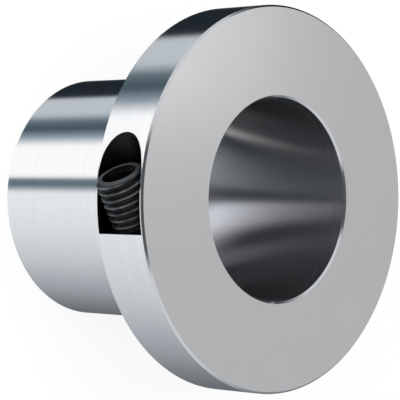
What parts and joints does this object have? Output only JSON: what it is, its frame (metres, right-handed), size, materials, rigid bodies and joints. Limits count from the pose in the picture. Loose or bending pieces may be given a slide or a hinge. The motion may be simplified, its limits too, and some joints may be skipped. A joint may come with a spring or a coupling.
{
  "type": "keyless locking bush",
  "caption": "Flanged hydraulic locking bush: a double-walled steel sleeve that grips shaft and hub when a screw in the flange rim drives a piston.",
  "frame": {"origin": "centre of the bore in the plane of the sleeve's end, where the bush stands", "axes": "+Z along the bush axis from the sleeve end to the flange face, the screw lies along Y on the -X side with its key end towards +Y"},
  "size_m": [0.095, 0.095, 0.066],
  "materials": {
    "sleeve_steel": "turned and ground bright",
    "inner_steel": "ground bright",
    "screw_black": "black oxide",
    "piston_steel": "ground",
    "seal_rubber": "moulded",
    "backup_plastic": "turned",
    "medium": "liquid"
  },
  "bodies": {
    "bush": {"flange_sleeve": "sleeve_steel", "inner_sleeve": "inner_steel", "pressure_medium": "medium"},
    "plunger": {"piston": "piston_steel", "piston_o_ring": "seal_rubber", "backup_ring": "backup_plastic"},
    "screw": {"pressure_screw": "screw_black"}
  },
  "joints": [
    {"name": "piston_slide", "type": "slide", "parent": "bush", "child": "plunger", "axis": [0, -1, 0], "range_m": [0, 0.007], "deforming": ["pressure_medium"]},
    {"name": "screw_turn", "type": "hinge", "parent": "plunger", "child": "screw", "pos_m": [-0.038, 0.0289, 0.05825], "axis": [0, -1, 0], "range_deg": [0, 1440]}
  ],
  "couplings": [
    {"joint": "screw_turn", "follows": "piston_slide", "rad_per_m": 3590.4}
  ]
}
